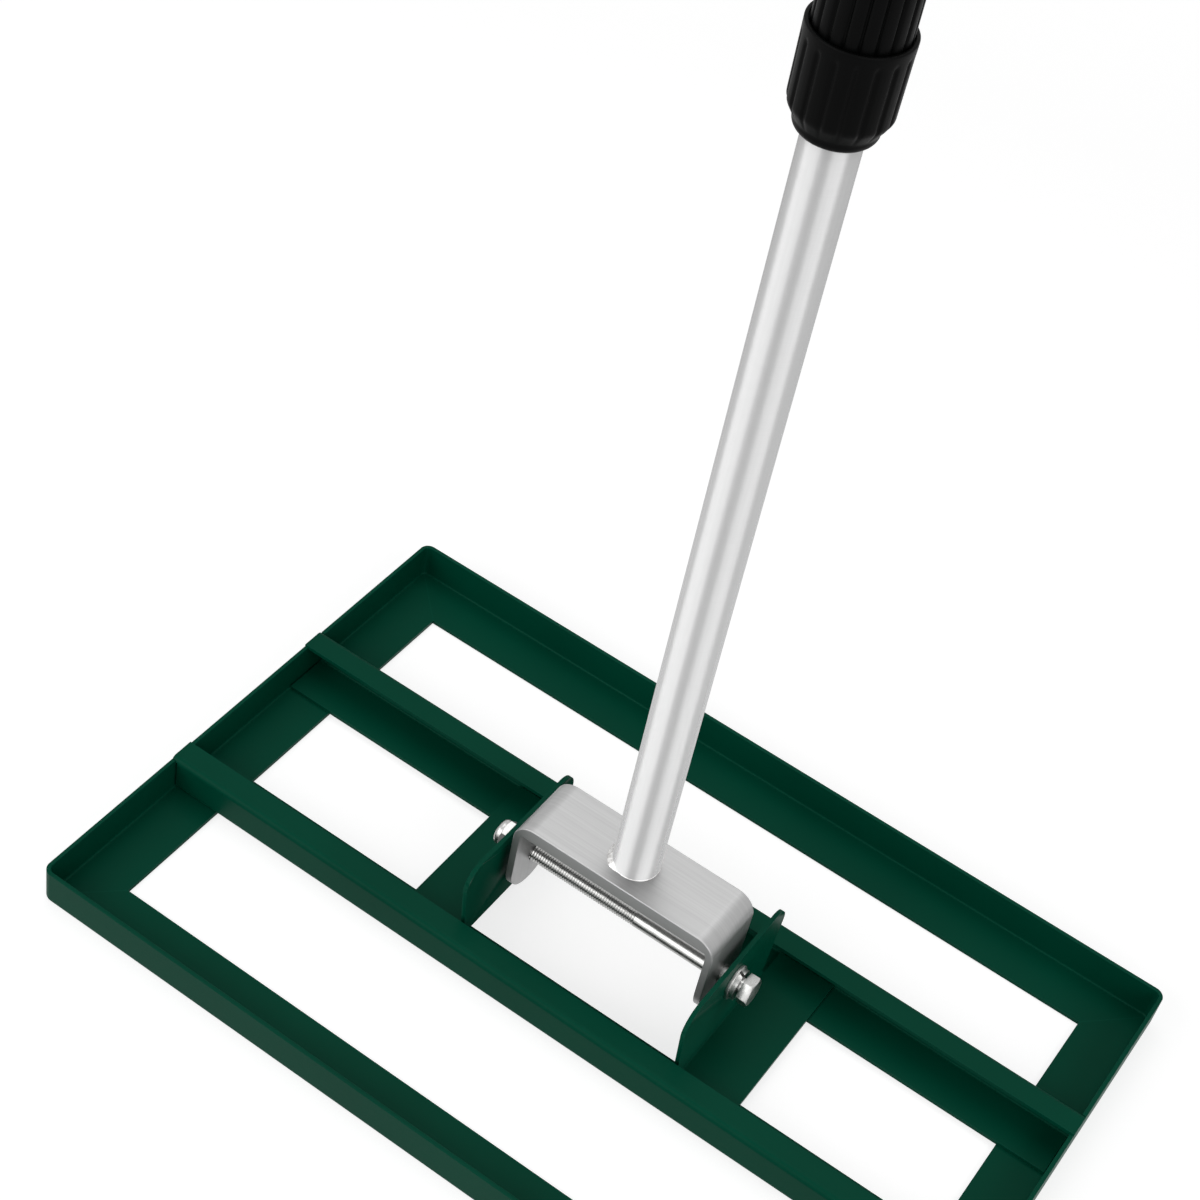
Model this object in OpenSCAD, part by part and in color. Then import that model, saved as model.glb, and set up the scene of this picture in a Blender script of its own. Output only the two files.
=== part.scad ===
// Lawn leveling rake: an open steel frame that is dragged flat over the ground, with a
// telescopic handle that swings on a pivot bolt. Millimetres, +Z up, +X along the frame,
// +Y away from the user. The origin is on the ground at the middle of the frame.

/* [Frame] */
// Length of the frame, across the direction of travel
frame_l = 432; // [360:1:560]
// Width of the frame, along the direction of travel
frame_w = 284; // [240:1:400]
// Height of the outer wall
wall_h = 20.5; // [14:0.5:40]
// Width of the bottom flange, measured from the outer face of the wall
flange_w = 27; // [18:1:40]
// Thickness of the sheet steel
sheet_t = 2; // [1.5:0.1:3]
// Outer radius of a fold in the sheet
fold_r = 3; // [2.5:0.1:5]
// Radius of the upright corners of the frame
corner_r = 5; // [4.5:0.5:15]

/* [Crossbars] */
// Distance between the outer faces of the two crossbars
bars_w = 111; // [98:1:160]
// Height of a crossbar over its lip
bar_h = 20.5; // [14:0.5:40]
// Width of the bottom flange of a crossbar
bar_flange_w = 26; // [15:1:32]
// Width of the top lip of a crossbar
lip_w = 13; // [8:1:20]

/* [Brackets] */
// Clear distance between the two ears
ear_gap = 115; // [100:1:200]
// Height of the top edge of an ear above the ground
ear_top = 53; // [50:1:70]
// Greatest width of an ear
ear_w = 84; // [60:1:84]
// Width of an ear at its fold
ear_foot_w = 74; // [50:1:76]
// Radius of the top corners of an ear
ear_r = 11; // [4:1:16]
// Width of the bottom flange of a bracket, measured from the inner face of its ear
bracket_flange_w = 32; // [20:1:50]

/* [Clevis] */
// Thickness of the flat bar
clevis_t = 3.5; // [3:0.5:5]
// Width of the flat bar
clevis_w = 35; // [26:1:40]
// Height of the top face of the clevis above the ground
clevis_top = 73; // [66:0.5:85]
// Thickness of the stiffener under the top of the clevis
stiffener_t = 3.5; // [2:0.5:5]
// Gap between a leg and its ear
leg_gap = 4.5; // [1:0.5:8]
// Outer radius of the bends
clevis_bend_r = 10; // [8:0.5:14]

/* [Pivot bolt] */
// Diameter of the bolt
bolt_d = 8; // [6:0.5:10]
// Height of the bolt axis above the ground
pivot_z = 38; // [32:0.5:42]
// Size of the bolt head and the nut across flats
hex_af = 13; // [12:0.5:17]
// Height of the bolt head
head_h = 5.3; // [4:0.1:7]
// Turn of the bolt head from corner up
head_turn = 23; // [0:1:60]
// Play between the bolt head and the spring washer
head_play = 1.4; // [0:0.1:2]
// Outer diameter of the flat washer
washer_d = 17; // [15:0.5:20]
// Thickness of the flat washer
washer_t = 1.6; // [1:0.1:2.5]
// Outer diameter of the spring washer
spring_d = 15; // [12.5:0.5:17]
// Thickness of the spring washer
spring_t = 2.2; // [1.5:0.1:3]
// Height of the hexagon of the lock nut
nut_h = 6.3; // [4:0.1:8]
// Height of the round collar of the lock nut
nut_collar_h = 3.2; // [2.5:0.1:4]
// Turn of the lock nut from corner up
nut_turn = 43; // [0:1:60]

/* [Lower tube] */
// Outer diameter of the lower tube
tube_d = 22; // [19:0.5:24]
// Wall of the lower tube
tube_wall = 1; // [0.8:0.1:1.5]
// Length of the lower tube
tube_l = 1000; // [900:10:1100]
// Length of the lower tube that shows below the lock collar
tube_show = 387; // [370:1:420]
// Height and width of the weld bead at the foot of the tube
bead_w = 3; // [2:0.5:4]

/* [Twist lock] */
// Outer diameter of the lock collar at its lip
collar_d = 38; // [37:0.5:42]
// Length of the lock collar
collar_l = 40.2; // [38:0.2:55]
// How much the skirt of the lock collar narrows towards its nose
collar_taper = 0.8; // [0:0.1:1.5]
// Outer diameter of the nose of the lock collar
nose_d = 30.4; // [30:0.2:32]
// Number of flutes round the lock collar
collar_flutes = 17; // [12:1:24]
// Outer diameter of the ribbed lock body
lock_d = 34.2; // [33:0.2:34.6]
// Length of the lock body
lock_l = 64; // [50:1:80]
// Number of grooves round the lock body
lock_grooves = 19; // [10:1:24]

/* [Upper tube and grip] */
// Outer diameter of the upper tube
upper_d = 25; // [25:0.5:27]
// Length of the upper tube
upper_l = 960; // [950:10:1050]
// Outer diameter of the grip
grip_d = 32; // [30:0.5:36]
// Length of the grip
grip_l = 190; // [120:5:240]
// Diameter of the hanging hole in the end cap
hang_d = 8; // [6:0.5:10]

/* [Clearances] */
// Radial clearance of a part that turns or slides on another
run_gap = 0.08; // [0.03:0.01:0.1]
// Gap between faces that pass each other
face_gap = 0.3; // [0.2:0.05:0.5]
// Radial clearance of a bolt in a plain hole
hole_gap = 0.25; // [0.1:0.05:0.5]

/* [Hidden] */

$fn = 96;
eps = 0.01;
far = 2000;

green = "#0b4a3a";
steel = "silver";
black = "#1c1c1e";
nylon = "ivory";

// Folded sheet: a blank end stops short of the fillet inside the next fold.
inner_fold_r = fold_r - sheet_t;
seam = inner_fold_r + 0.2;

// Crossbars lie on the rail flanges and their lips lie on the walls.
bar_z = wall_h + sheet_t - bar_h;
lip_under = wall_h;
bar_in = bars_w / 2 - sheet_t;
lip_edge = bars_w / 2 - lip_w;

// Brackets lie on the crossbar flanges, with their ears between the lips.
bracket_z = bar_z + sheet_t;
bracket_half = bar_in - seam;
ear_out = ear_gap / 2 + sheet_t;

// Clevis
clevis_half = ear_gap / 2 - leg_gap;
leg_end_r = clevis_w / 2;

// Bolt stack, outwards from the right ear and from the left ear
head_x = ear_out + washer_t + spring_t + head_play;
nut_end_x = ear_out + nut_h + nut_collar_h;
bolt_end_x = nut_end_x - 0.5;
bolt_hole_d = bolt_d + 2 * hole_gap;
bolt_run_d = bolt_d + 2 * run_gap;
nut_ring_h = 2;
nut_ring_d = bolt_d + 2.8;

// Lower tube
tube_r = tube_d / 2;
tube_bore_r = tube_r - tube_wall;
tube_run_r = tube_r + run_gap;
tube_top = clevis_top + tube_l;
bead_gap_r = 0.6 * bead_w;

// Twist lock, with heights measured from the nose of the collar
nose_z = clevis_top + tube_show;
collar_r = collar_d / 2;
skirt_r = collar_r - collar_taper / 2;
nose_r = nose_d / 2;
nose_rise = 3.5;
waist_z = 4.4;
shoulder_z = 10.3;
collar_lip_h = 3.8;
collar_edge_r = 0.7;
ring_z = 4.3;
ring_l = 13.4;
ring_wall = 2.4;
ring_taper = 1.2;
ring_slot = 2;
ring_out_r = tube_run_r + ring_wall;
spigot_z = ring_z + ring_l + face_gap;
spigot_r = tube_r + 4.3;
spigot_bore_r = tube_r + 0.5;
collar_bore_r = spigot_r + face_gap;
lock_sink = 1.5;
lock_z = collar_l - lock_sink + face_gap;
lock_r = lock_d / 2;
lock_edge_r = 1.5;
socket_z = lock_z - 1.5;
lock_band_h = 6;
flute_r = 1.1;
flute_depth = 0.6;
groove_r = 1.1;
groove_depth = 0.8;

// Upper tube and grip
upper_r = upper_d / 2;
upper_bore_r = upper_r - 0.9;
upper_z = nose_z + socket_z;
upper_top = upper_z + upper_l;
plug_r = upper_bore_r - run_gap;
plug_rim_h = 3;
plug_stem_l = 16;
plug_wall = 2;
grip_r = grip_d / 2;
grip_z = upper_top - grip_l;
grip_end_h = 8;
grip_end_taper = 2;
grip_rings = 12;
grip_ring_pitch = (grip_l - 2 * grip_end_h - 30) / grip_rings;
grip_ring_depth = 0.9;
cap_rim_h = 5;
cap_stem_l = 18;
cap_tab_h = 20;
cap_tab_t = 9;
cap_tab_w = 24;

// Angle section: legs of a along X and b along Y, folded at the origin.
module folded_angle(a, b) {
    translate([fold_r, 0]) square([a - fold_r, sheet_t]);
    translate([0, fold_r]) square([sheet_t, b - fold_r]);
    intersection() {
        square(fold_r);
        translate([fold_r, fold_r]) difference() {
            circle(fold_r);
            circle(inner_fold_r);
        }
    }
}

// Channel section: bottom flange, upright leg and top lip, all to one side.
module channel_section() {
    folded_angle(bar_flange_w, bar_h / 2 + eps);
    translate([0, bar_h]) mirror([0, 1]) folded_angle(lip_w, bar_h / 2);
}

// Extrudes a section along X: its X becomes Y and its Y becomes Z.
module along_x(length) {
    translate([-length / 2, 0, 0]) rotate([90, 0, 90]) linear_extrude(length) children();
}

// Extrudes a section along Y: its X stays X and its Y becomes Z.
module along_y(length) {
    translate([0, length / 2, 0]) rotate([90, 0, 0]) linear_extrude(length) children();
}

// Solid cylinder along X between two places.
module rod_x(x0, x1, d, sides = $fn) {
    translate([x0, 0, 0]) rotate([0, 90, 0]) cylinder(h = x1 - x0, d = d, $fn = sides);
}

// Flat part of one side of the frame, with the corners of the frame rounded.
module rail_flange(length) {
    flat_r = corner_r - fold_r;
    translate([corner_r - length / 2, fold_r]) square([length - 2 * corner_r, flange_w - fold_r]);
    for (side = [0, 1]) mirror([side, 0]) {
        translate([length / 2 - corner_r, corner_r]) circle(flat_r);
        translate([length / 2 - corner_r, corner_r]) square([flat_r, flange_w - corner_r]);
    }
}

// One side of the frame: outer face on the XZ plane, both ends mitred at 45 degrees.
module rail(length) {
    straight = length - 2 * corner_r;
    intersection() {
        union() {
            linear_extrude(sheet_t) rail_flange(length);
            along_x(straight) folded_angle(fold_r + eps, wall_h);
            for (end = [-1, 1])
                translate([end * straight / 2, corner_r, 0])
                    rotate([0, 0, end > 0 ? -90 : 180])
                        rotate_extrude(angle = 90)
                            translate([corner_r, 0]) mirror([1, 0])
                                folded_angle(fold_r + eps, wall_h);
        }
        translate([0, 0, -1]) linear_extrude(wall_h + 2) polygon([
            [-length / 2 - 1, -1], [length / 2 + 1, -1],
            [length / 2 - flange_w, flange_w], [flange_w - length / 2, flange_w]
        ]);
    }
}

module front_rail() {
    color(green) translate([0, -frame_w / 2, 0]) rail(frame_l);
}

module rear_rail() {
    color(green) rotate([0, 0, 180]) translate([0, -frame_w / 2, 0]) rail(frame_l);
}

module left_rail() {
    color(green) rotate([0, 0, -90]) translate([0, -frame_l / 2, 0]) rail(frame_w);
}

module right_rail() {
    color(green) rotate([0, 0, 90]) translate([0, -frame_l / 2, 0]) rail(frame_w);
}

// Crossbar with its leg to the front. Only the lip reaches over the side walls.
module crossbar() {
    inside_l = frame_l - 2 * (sheet_t + seam);
    difference() {
        translate([0, -bars_w / 2, bar_z]) along_x(frame_l) channel_section();
        for (end = [-1, 1])
            translate([end * (inside_l + far) / 2, 0, lip_under - far / 2])
                cube([far, far, far], center = true);
    }
}

module front_crossbar() {
    color(green) crossbar();
}

module rear_crossbar() {
    color(green) mirror([0, 1, 0]) crossbar();
}

// Side view of an ear, with Y to the right and Z up. The sides meet the corners tangentially.
module ear_outline() {
    foot = [ear_foot_w / 2, bracket_z + fold_r];
    centre = [ear_w / 2 - ear_r, ear_top - ear_r];
    reach = norm(centre - foot);
    lean = atan2(centre[1] - foot[1], centre[0] - foot[0]) - asin(ear_r / reach);
    tangent = foot + sqrt(reach * reach - ear_r * ear_r) * [cos(lean), sin(lean)];
    polygon([
        [-foot[0], foot[1]], foot, tangent, centre, [centre[0], ear_top],
        [-centre[0], ear_top], [-centre[0], centre[1]], [-tangent[0], tangent[1]]
    ]);
    for (side = [-1, 1])
        translate([side * centre[0], centre[1]]) circle(ear_r);
}

// Right bracket: an ear for the bolt and a wider bottom flange that points outwards.
module bracket() {
    difference() {
        translate([ear_gap / 2, 0, 0]) {
            translate([fold_r, -bracket_half, bracket_z])
                cube([bracket_flange_w - fold_r, 2 * bracket_half, sheet_t]);
            translate([0, 0, bracket_z])
                along_y(ear_foot_w) folded_angle(2 * fold_r, fold_r + eps);
            rotate([90, 0, 90]) linear_extrude(sheet_t) ear_outline();
        }
        translate([0, 0, pivot_z]) rod_x(0, ear_out + 1, bolt_hole_d);
    }
}

module right_bracket() {
    color(green) bracket();
}

module left_bracket() {
    color(green) mirror([1, 0, 0]) bracket();
}

// Front view of the clevis, with X to the right and Z up.
module clevis_section() {
    inner_bend_r = clevis_bend_r - clevis_t;
    for (side = [0, 1]) mirror([side, 0]) {
        translate([0, clevis_top - clevis_t]) square([clevis_half - clevis_bend_r, clevis_t]);
        translate([clevis_half - clevis_t, 0]) square([clevis_t, clevis_top - clevis_bend_r]);
        translate([clevis_half - clevis_bend_r, clevis_top - clevis_bend_r]) intersection() {
            square(clevis_bend_r);
            difference() {
                circle(clevis_bend_r);
                circle(inner_bend_r);
            }
        }
    }
}

module clevis() {
    color(steel) difference() {
        intersection() {
            along_y(clevis_w) clevis_section();
            along_x(2 * clevis_half) {
                translate([-clevis_w / 2, pivot_z]) square([clevis_w, clevis_top - pivot_z]);
                translate([0, pivot_z]) circle(leg_end_r);
            }
        }
        translate([0, 0, pivot_z]) rod_x(-clevis_half - 1, clevis_half + 1, bolt_run_d);
    }
}

// Flat plate that fits up into the bends of the clevis and doubles its top.
module clevis_stiffener() {
    inner_bend_r = clevis_bend_r - clevis_t;
    flat_half = clevis_half - clevis_bend_r;
    under = clevis_top - clevis_t - stiffener_t;
    color(steel) along_y(clevis_w) intersection() {
        translate([-clevis_half, under]) square([2 * clevis_half, stiffener_t]);
        union() {
            translate([-flat_half, under]) square([2 * flat_half, stiffener_t]);
            for (side = [-1, 1])
                translate([side * flat_half, clevis_top - clevis_bend_r]) circle(inner_bend_r);
        }
    }
}

// Fillet weld with a slightly hollow face round the foot of the tube.
module tube_weld() {
    color(steel) translate([0, 0, clevis_top]) rotate_extrude() difference() {
        translate([tube_r, 0]) square(bead_w);
        translate([tube_r + bead_w + bead_gap_r / 2, bead_w + bead_gap_r / 2])
            circle(bead_w + bead_gap_r / 2 - 0.6);
    }
}

module lower_tube() {
    color(steel) translate([0, 0, clevis_top]) difference() {
        cylinder(h = tube_l, r = tube_r);
        translate([0, 0, -1]) cylinder(h = tube_l + 2, r = tube_bore_r);
    }
}

// Plastic plug that guides the lower tube inside the upper one.
module guide_plug() {
    color(black) translate([0, 0, tube_top]) difference() {
        union() {
            cylinder(h = plug_rim_h, r = plug_r);
            translate([0, 0, -plug_stem_l]) cylinder(h = plug_stem_l + eps, r = tube_bore_r);
        }
        translate([0, 0, -plug_stem_l - 1])
            cylinder(h = plug_stem_l + plug_rim_h + 2, r = tube_bore_r - plug_wall);
    }
}

// Hexagon along X with its outer edge chamfered; the chamfered end faces +X.
module hex_x(x0, height, turn) {
    across = hex_af / cos(30);
    intersection() {
        rotate([turn, 0, 0]) rod_x(x0, x0 + height, across, 6);
        translate([x0, 0, 0]) rotate([0, 90, 0])
            cylinder(h = height, r1 = hex_af / 2 + height * 1.5, r2 = hex_af / 2 * 0.98);
    }
}

module pivot_bolt() {
    color(steel) translate([0, 0, pivot_z]) {
        rod_x(-bolt_end_x, head_x + eps, bolt_d);
        hex_x(head_x, head_h, head_turn);
    }
}

module flat_washer() {
    color(steel) translate([0, 0, pivot_z]) difference() {
        rod_x(ear_out, ear_out + washer_t, washer_d);
        rod_x(ear_out - 1, ear_out + washer_t + 1, bolt_hole_d);
    }
}

// Spring washer with its slanted split at the top.
module spring_washer() {
    slot_w = 1.5;
    x0 = ear_out + washer_t;
    color(steel) translate([0, 0, pivot_z]) difference() {
        rod_x(x0, x0 + spring_t, spring_d);
        rod_x(x0 - 1, x0 + spring_t + 1, bolt_hole_d);
        translate([x0 + spring_t / 2, 0, spring_d / 2]) rotate([0, 0, 60])
            cube([slot_w, far, spring_d - bolt_d], center = true);
    }
}

// Hexagon nut with a round, domed collar that holds a nylon ring.
module lock_nut() {
    ring_x = nut_end_x - nut_collar_h;
    color(steel) translate([0, 0, pivot_z]) mirror([1, 0, 0]) difference() {
        union() {
            hex_x(ear_out, nut_h, nut_turn);
            translate([ear_out, 0, 0]) rotate([0, 90, 0]) rotate_extrude() {
                dome_r = 2.2;
                square([hex_af / 2 - 0.2, nut_h + nut_collar_h - dome_r]);
                square([hex_af / 2 - 0.2 - dome_r, nut_h + nut_collar_h]);
                translate([hex_af / 2 - 0.2 - dome_r, nut_h + nut_collar_h - dome_r])
                    circle(dome_r);
            }
        }
        rod_x(ear_out - 1, nut_end_x + 1, bolt_d);
        rod_x(ring_x, ring_x + nut_ring_h, nut_ring_d);
    }
}

module nut_insert() {
    ring_x = nut_end_x - nut_collar_h;
    color(nylon) translate([0, 0, pivot_z]) mirror([1, 0, 0]) difference() {
        rod_x(ring_x, ring_x + nut_ring_h, nut_ring_d);
        rod_x(ring_x - 1, ring_x + nut_ring_h + 1, bolt_d);
    }
}

// Outside of the lock collar: rounded nose, waist, shoulder and tapered skirt.
module collar_profile() {
    edge = collar_edge_r;
    // nose
    square([nose_r - nose_rise, waist_z]);
    translate([0, nose_rise]) square([nose_r, waist_z - nose_rise]);
    intersection() {
        translate([nose_r - nose_rise, nose_rise]) circle(nose_rise);
        square(nose_r);
    }
    // shoulder and skirt
    polygon([
        [0, waist_z], [nose_r, waist_z], [skirt_r - 0.8, shoulder_z - 1.5], [skirt_r, shoulder_z],
        [collar_r, collar_l - edge], [0, collar_l - edge]
    ]);
    translate([0, collar_l - edge - eps]) square([collar_r - edge, edge + eps]);
    translate([collar_r - edge, collar_l - edge]) circle(edge);
}

// Inside of the lock collar: tube bore, taper for the clamp ring, thread bore and lip.
module collar_cavity() {
    taper_top = ring_z + ring_taper;
    out_r = ring_out_r + face_gap;
    polygon([
        [0, -1], [tube_run_r, -1], [tube_run_r, ring_z - face_gap],
        [out_r - ring_taper, ring_z - face_gap], [out_r, taper_top - face_gap],
        [out_r, spigot_z - face_gap], [collar_bore_r, spigot_z - face_gap],
        [collar_bore_r, collar_l - lock_sink], [lock_r + face_gap, collar_l - lock_sink],
        [lock_r + face_gap, collar_l + 1], [0, collar_l + 1]
    ]);
}

module lock_collar() {
    color(black) translate([0, 0, nose_z]) difference() {
        rotate_extrude() collar_profile();
        rotate_extrude() collar_cavity();
        for (i = [0:collar_flutes - 1])
            rotate([0, 0, i * 360 / collar_flutes])
                translate([collar_r + flute_r - flute_depth, 0, waist_z])
                    cylinder(h = collar_l - waist_z - collar_lip_h, r = flute_r, $fn = 24);
    }
}

// Split ring that the collar squeezes on the lower tube.
module clamp_ring() {
    color(nylon) translate([0, 0, nose_z]) difference() {
        rotate_extrude() polygon([
            [tube_run_r, ring_z], [ring_out_r - ring_taper, ring_z],
            [ring_out_r, ring_z + ring_taper], [ring_out_r, ring_z + ring_l],
            [tube_run_r, ring_z + ring_l]
        ]);
        translate([tube_r + ring_wall / 2, 0, ring_z + ring_l / 2])
            cube([2 * ring_wall, ring_slot, 2 * ring_l], center = true);
    }
}

// Threaded spigot inside the collar, and a grooved sleeve that holds the upper tube.
module lock_profile() {
    top = lock_z + lock_l;
    edge = lock_edge_r;
    translate([0, spigot_z]) square([spigot_r, lock_z - spigot_z + eps]);
    translate([0, lock_z]) square([lock_r, lock_l - edge]);
    translate([0, top - edge - eps]) square([lock_r - edge, edge + eps]);
    translate([lock_r - edge, top - edge]) circle(edge);
}

module lock_body() {
    color(black) translate([0, 0, nose_z]) difference() {
        rotate_extrude() lock_profile();
        translate([0, 0, spigot_z - 1]) cylinder(h = lock_z, r = spigot_bore_r);
        translate([0, 0, socket_z]) cylinder(h = lock_l + lock_z, r = upper_r);
        for (i = [0:lock_grooves - 1])
            rotate([0, 0, i * 360 / lock_grooves])
                translate([lock_r + groove_r - groove_depth, 0, lock_z - 1])
                    cylinder(h = lock_l + 1 - lock_band_h, r = groove_r, $fn = 24);
    }
}

module upper_tube() {
    color(steel) translate([0, 0, upper_z]) difference() {
        cylinder(h = upper_l, r = upper_r);
        translate([0, 0, -1]) cylinder(h = upper_l + 2, r = upper_bore_r);
    }
}

// Moulded grip: tapered ends and a run of finger rings.
module grip() {
    color(black) translate([0, 0, grip_z]) difference() {
        rotate_extrude() difference() {
            polygon([
                [upper_r, 0], [grip_r - grip_end_taper, 0], [grip_r, grip_end_h],
                [grip_r, grip_l], [upper_r, grip_l]
            ]);
            for (i = [0:grip_rings])
                translate([grip_r + 2 - grip_ring_depth, grip_end_h + 15 + i * grip_ring_pitch])
                    circle(2, $fn = 32);
        }
    }
}

// End cap: a stem in the tube, a rim on the grip and a flat tab with the hanging hole.
module end_cap() {
    tab_r = cap_tab_w / 2;
    color(black) translate([0, 0, upper_top]) difference() {
        union() {
            translate([0, 0, -cap_stem_l]) cylinder(h = cap_stem_l + eps, r = upper_bore_r);
            cylinder(h = cap_rim_h - 2, r = grip_r);
            translate([0, 0, cap_rim_h - 2]) cylinder(h = 2, r1 = grip_r, r2 = grip_r - 2);
            translate([0, 0, cap_rim_h - eps]) along_y(cap_tab_t) {
                translate([-tab_r, 0]) square([cap_tab_w, cap_tab_h - tab_r]);
                translate([0, cap_tab_h - tab_r]) circle(tab_r);
            }
        }
        translate([0, 0, -cap_stem_l - 1]) cylinder(h = cap_stem_l - 2, r = upper_bore_r - plug_wall);
        translate([0, cap_tab_t, cap_rim_h + cap_tab_h - tab_r])
            rotate([90, 0, 0]) cylinder(h = 2 * cap_tab_t, d = hang_d);
    }
}

front_rail();
rear_rail();
left_rail();
right_rail();
front_crossbar();
rear_crossbar();
left_bracket();
right_bracket();
clevis();
clevis_stiffener();
tube_weld();
lower_tube();
guide_plug();
pivot_bolt();
flat_washer();
spring_washer();
lock_nut();
nut_insert();
lock_collar();
clamp_ring();
lock_body();
upper_tube();
grip();
end_cap();
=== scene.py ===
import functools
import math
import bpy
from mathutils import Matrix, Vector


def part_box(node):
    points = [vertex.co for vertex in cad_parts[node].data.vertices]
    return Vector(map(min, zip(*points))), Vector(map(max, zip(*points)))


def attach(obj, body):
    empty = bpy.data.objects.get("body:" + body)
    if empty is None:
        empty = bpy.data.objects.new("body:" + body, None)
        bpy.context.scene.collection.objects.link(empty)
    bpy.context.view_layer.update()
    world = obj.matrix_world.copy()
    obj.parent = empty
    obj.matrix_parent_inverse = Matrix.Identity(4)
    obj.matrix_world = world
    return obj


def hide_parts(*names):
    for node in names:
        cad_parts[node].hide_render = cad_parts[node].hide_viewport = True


bl_info = {
    "name": "Lawn Leveling Rake",
    "version": (1, 0, 0),
    "blender": (4, 5, 0),
    "location": "View3D > Sidebar > Rake",
    "description": "Dresses the packed lawn leveling rake with detailed pieces and finishes",
    "category": "Object",
}

import bmesh
import bpy
from bpy.props import (
    FloatProperty,
    FloatVectorProperty,
    IntProperty,
    PointerProperty,
)
from mathutils import Matrix, Vector

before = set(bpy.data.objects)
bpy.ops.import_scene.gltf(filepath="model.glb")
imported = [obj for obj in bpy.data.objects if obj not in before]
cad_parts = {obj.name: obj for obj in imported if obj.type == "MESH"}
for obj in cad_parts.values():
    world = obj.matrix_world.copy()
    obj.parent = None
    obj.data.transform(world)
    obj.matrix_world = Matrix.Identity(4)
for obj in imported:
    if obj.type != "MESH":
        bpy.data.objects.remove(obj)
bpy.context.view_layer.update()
MM = 0.001

# Places that the frame gives, in millimetres.
CLEVIS_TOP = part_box("clevis")[1].z / MM
NOSE_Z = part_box("lock_collar")[0].z / MM
BOLT_Z = (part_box("flat_washer")[0].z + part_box("flat_washer")[1].z) / 2 / MM
BOLT_END_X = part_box("pivot_bolt")[0].x / MM
HEAD_END_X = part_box("pivot_bolt")[1].x / MM

# Width of the crossbars' lips and a height between flanges and wall tops, in millimetres.
LIP_WIDTH = 13.0
WALL_MIDDLE_Z = 12.0

# Play in millimetres when places are compared.
TIGHT = 0.01
LOOSE = 0.05

# Specular level of the satin finishes.
SATIN_SPECULAR = 0.045


class RakeCoatSettings(bpy.types.PropertyGroup):
    """Sizes and colours of the coated steel frame."""

    coat_color: FloatVectorProperty(
        name="Coat color",
        description="Colour of the powder coat",
        subtype="COLOR",
        size=3,
        min=0.0,
        max=1.0,
        default=(0.0, 0.056, 0.031),
    )
    coat_roughness: FloatProperty(
        name="Coat roughness",
        description="Roughness of the powder coat",
        subtype="FACTOR",
        min=0.0,
        max=1.0,
        default=0.42,
    )
    edge_round: FloatProperty(
        name="Edge rounding",
        description="Rounding of the cut edges under the coat",
        subtype="DISTANCE",
        unit="LENGTH",
        min=0.0,
        max=0.001,
        default=0.00035,
    )


class RakeSteelSettings(bpy.types.PropertyGroup):
    """Sizes and colours of the bare steel pieces."""

    bar_color: FloatVectorProperty(
        name="Bar color",
        description="Colour of the brushed flat bar",
        subtype="COLOR",
        size=3,
        min=0.0,
        max=1.0,
        default=(0.39, 0.39, 0.39),
    )
    tube_color: FloatVectorProperty(
        name="Tube color",
        description="Colour of the bright tube",
        subtype="COLOR",
        size=3,
        min=0.0,
        max=1.0,
        default=(0.7, 0.7, 0.7),
    )
    bar_edge: FloatProperty(
        name="Bar edge",
        description="Rounding of the long edges of the flat bar",
        subtype="DISTANCE",
        unit="LENGTH",
        min=0.0,
        max=0.001,
        default=0.0005,
    )
    thread_pitch: FloatProperty(
        name="Thread pitch",
        description="Pitch of the thread on the bolt",
        subtype="DISTANCE",
        unit="LENGTH",
        min=0.0005,
        max=0.003,
        default=0.00125,
    )
    thread_length: FloatProperty(
        name="Thread length",
        description="Length of the thread on the bolt",
        subtype="DISTANCE",
        unit="LENGTH",
        min=0.01,
        max=0.12,
        default=0.076,
    )
    weld_ripples: IntProperty(
        name="Weld ripples",
        description="Number of ripples round the weld bead",
        min=12,
        max=90,
        default=36,
    )


class RakePlasticSettings(bpy.types.PropertyGroup):
    """Sizes and colours of the moulded pieces."""

    plastic_color: FloatVectorProperty(
        name="Plastic color",
        description="Colour of the moulded lock",
        subtype="COLOR",
        size=3,
        min=0.0,
        max=1.0,
        default=(0.0012, 0.0013, 0.0013),
    )
    flutes: IntProperty(
        name="Flutes",
        description="Number of flutes round the lock collar",
        min=10,
        max=30,
        default=17,
    )
    grooves: IntProperty(
        name="Grooves",
        description="Number of grooves round the lock body",
        min=10,
        max=30,
        default=19,
    )


class RakeStageSettings(bpy.types.PropertyGroup):
    """Camera and light."""

    camera_place: FloatVectorProperty(
        name="Camera place",
        description="Where the camera stands",
        subtype="TRANSLATION",
        unit="LENGTH",
        size=3,
        default=(0.259055, -0.645874, 0.908605),
    )
    camera_turn: FloatProperty(
        name="Camera turn",
        description="Turn of the camera round the upright",
        subtype="ANGLE",
        unit="ROTATION",
        default=math.radians(25.2292),
    )
    camera_tilt: FloatProperty(
        name="Camera tilt",
        description="How far the camera looks down",
        subtype="ANGLE",
        unit="ROTATION",
        default=math.radians(44.5517),
    )
    camera_roll: FloatProperty(
        name="Camera roll",
        description="Roll of the camera",
        subtype="ANGLE",
        unit="ROTATION",
        default=math.radians(12.7812),
    )
    camera_lens: FloatProperty(
        name="Focal length",
        description="Focal length of the camera, in millimetres",
        min=20.0,
        max=200.0,
        default=73.949,
    )
    light_level: FloatProperty(
        name="Light level",
        description="Factor on all lamps",
        min=0.0,
        max=4.0,
        default=1.0,
    )


# Node tools


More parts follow.
